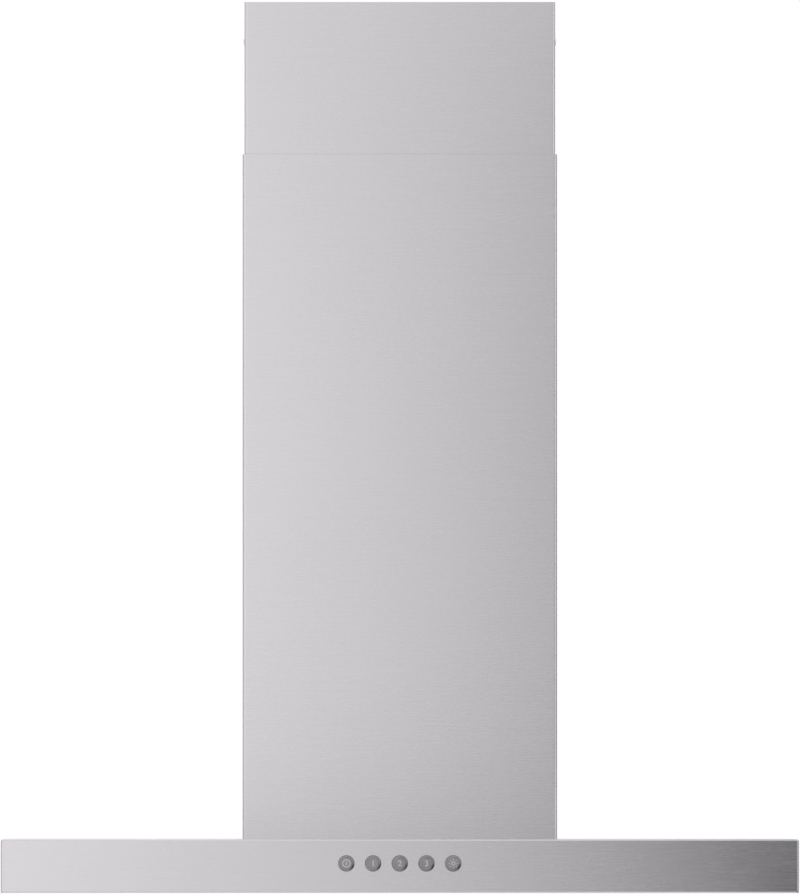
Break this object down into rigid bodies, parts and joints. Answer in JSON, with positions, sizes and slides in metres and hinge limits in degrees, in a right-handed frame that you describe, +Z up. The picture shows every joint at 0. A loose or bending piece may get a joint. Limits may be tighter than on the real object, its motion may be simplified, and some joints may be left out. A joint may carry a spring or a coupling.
{
  "type": "chimney range hood",
  "caption": "Wall-hung T-shaped range hood with a flat canopy, telescopic chimney, push buttons, grease filters, fan and duct collar.",
  "frame": {"origin": "middle of the canopy's underside, at the bottom centre of the whole hood", "axes": "+Z up, -Y out of the front with the buttons, +Y into the wall, +X to the viewer's right"},
  "size_m": [0.598, 0.4516, 0.672],
  "materials": {
    "brushed_steel": "fine horizontal brushing, satin",
    "galvanised_steel": "galvanised sheet, dull spangle",
    "zinc_steel": "zinc plated, satin",
    "button_satin": "satin metal caps with engraved signs",
    "aluminium": "mill finish, satin",
    "filter_mesh": "crimped expanded mesh",
    "dark_plastic": "moulded, matte",
    "grey_plastic": "moulded, fine texture",
    "circuit_board": "solder mask over laminate",
    "lamp_lens": "frosted",
    "cable_jacket": "flexible sheath, matte",
    "motor_paint": "dark enamel, satin"
  },
  "bodies": {
    "hood": {"canopy_shell": "brushed_steel", "inner_panel": "brushed_steel", "lower_chimney": "brushed_steel", "lamp_bezel_left": "brushed_steel", "lamp_bezel_right": "brushed_steel", "blower_housing": "galvanised_steel", "motor_bracket": "galvanised_steel", "capacitor_clip": "galvanised_steel", "switch_nut_left": "zinc_steel", "switch_nut_right": "zinc_steel", "damper_pin": "zinc_steel", "housing_screw_left": "zinc_steel", "housing_screw_right": "zinc_steel", "button_spring_power": "zinc_steel", "button_spring_speed_1": "zinc_steel", "button_spring_speed_2": "zinc_steel", "button_spring_speed_3": "zinc_steel", "button_spring_light": "zinc_steel", "lamp_body_left": "aluminium", "lamp_body_right": "aluminium", "capacitor": "aluminium", "switch_housing": "dark_plastic", "scroll_left": "dark_plastic", "scroll_right": "dark_plastic", "duct_collar": "dark_plastic", "cable_gland": "dark_plastic", "led_driver": "grey_plastic", "terminal_box": "grey_plastic", "terminal_lid": "grey_plastic", "switch_board": "circuit_board", "control_board": "circuit_board", "lamp_lens_left": "lamp_lens", "lamp_lens_right": "lamp_lens", "motor_lead": "cable_jacket", "switch_lead": "cable_jacket", "lamp_lead_left": "cable_jacket", "lamp_lead_right": "cable_jacket", "motor": "motor_paint"},
    "power_button": {"button_power": "button_satin"},
    "speed_1_button": {"button_speed_1": "button_satin"},
    "speed_2_button": {"button_speed_2": "button_satin"},
    "speed_3_button": {"button_speed_3": "button_satin"},
    "light_button": {"button_light": "button_satin"},
    "chimney_extension": {"upper_chimney": "brushed_steel", "ceiling_bracket": "galvanised_steel", "chimney_screw_left": "zinc_steel", "chimney_screw_right": "zinc_steel"},
    "fan_wheel": {"impeller": "grey_plastic", "motor_shaft": "zinc_steel", "impeller_nut": "zinc_steel"},
    "damper_front": {"damper_flap_front": "dark_plastic"},
    "damper_rear": {"damper_flap_rear": "dark_plastic"},
    "filter_left": {"filter_frame_left": "aluminium", "filter_mesh_left": "filter_mesh", "latch_spring_left": "zinc_steel"},
    "filter_right": {"filter_frame_right": "aluminium", "filter_mesh_right": "filter_mesh", "latch_spring_right": "zinc_steel"},
    "latch_left": {"filter_latch_left": "dark_plastic"},
    "latch_right": {"filter_latch_right": "dark_plastic"}
  },
  "joints": [
    {"name": "power_press", "type": "slide", "parent": "hood", "child": "power_button", "axis": [0, 1, 0], "range_m": [0, 0.0025], "stiffness_N_per_m": 400, "springref_m": -0.001, "deforming": ["button_spring_power"]},
    {"name": "speed_1_press", "type": "slide", "parent": "hood", "child": "speed_1_button", "axis": [0, 1, 0], "range_m": [0, 0.0025], "stiffness_N_per_m": 400, "springref_m": -0.001, "deforming": ["button_spring_speed_1"]},
    {"name": "speed_2_press", "type": "slide", "parent": "hood", "child": "speed_2_button", "axis": [0, 1, 0], "range_m": [0, 0.0025], "stiffness_N_per_m": 400, "springref_m": -0.001, "deforming": ["button_spring_speed_2"]},
    {"name": "speed_3_press", "type": "slide", "parent": "hood", "child": "speed_3_button", "axis": [0, 1, 0], "range_m": [0, 0.0025], "stiffness_N_per_m": 400, "springref_m": -0.001, "deforming": ["button_spring_speed_3"]},
    {"name": "light_press", "type": "slide", "parent": "hood", "child": "light_button", "axis": [0, 1, 0], "range_m": [0, 0.0025], "stiffness_N_per_m": 400, "springref_m": -0.001, "deforming": ["button_spring_light"]},
    {"name": "chimney_slide", "type": "slide", "parent": "hood", "child": "chimney_extension", "axis": [0, 0, 1], "range_m": [-0.08, 0.25]},
    {"name": "fan_spin", "type": "hinge", "parent": "hood", "child": "fan_wheel", "pos_m": [0, 0.1335, 0.15], "axis": [1, 0, 0], "continuous": true},
    {"name": "front_flap", "type": "hinge", "parent": "hood", "child": "damper_front", "pos_m": [0, 0.1335, 0.3591], "axis": [-1, 0, 0], "range_deg": [0, 70]},
    {"name": "rear_flap", "type": "hinge", "parent": "hood", "child": "damper_rear", "pos_m": [0, 0.1335, 0.3591], "axis": [1, 0, 0], "range_deg": [0, 70]},
    {"name": "left_filter_swing", "type": "hinge", "parent": "hood", "child": "filter_left", "pos_m": [-0.135, 0.195, 0.0016], "axis": [1, 0, 0], "range_deg": [0, 60]},
    {"name": "left_latch_slide", "type": "slide", "parent": "filter_left", "child": "latch_left", "axis": [0, 1, 0], "range_m": [0, 0.006], "stiffness_N_per_m": 300, "springref_m": -0.002, "deforming": ["latch_spring_left"]},
    {"name": "right_filter_swing", "type": "hinge", "parent": "hood", "child": "filter_right", "pos_m": [0.135, 0.195, 0.0016], "axis": [1, 0, 0], "range_deg": [0, 60]},
    {"name": "right_latch_slide", "type": "slide", "parent": "filter_right", "child": "latch_right", "axis": [0, 1, 0], "range_m": [0, 0.006], "stiffness_N_per_m": 300, "springref_m": -0.002, "deforming": ["latch_spring_right"]}
  ]
}
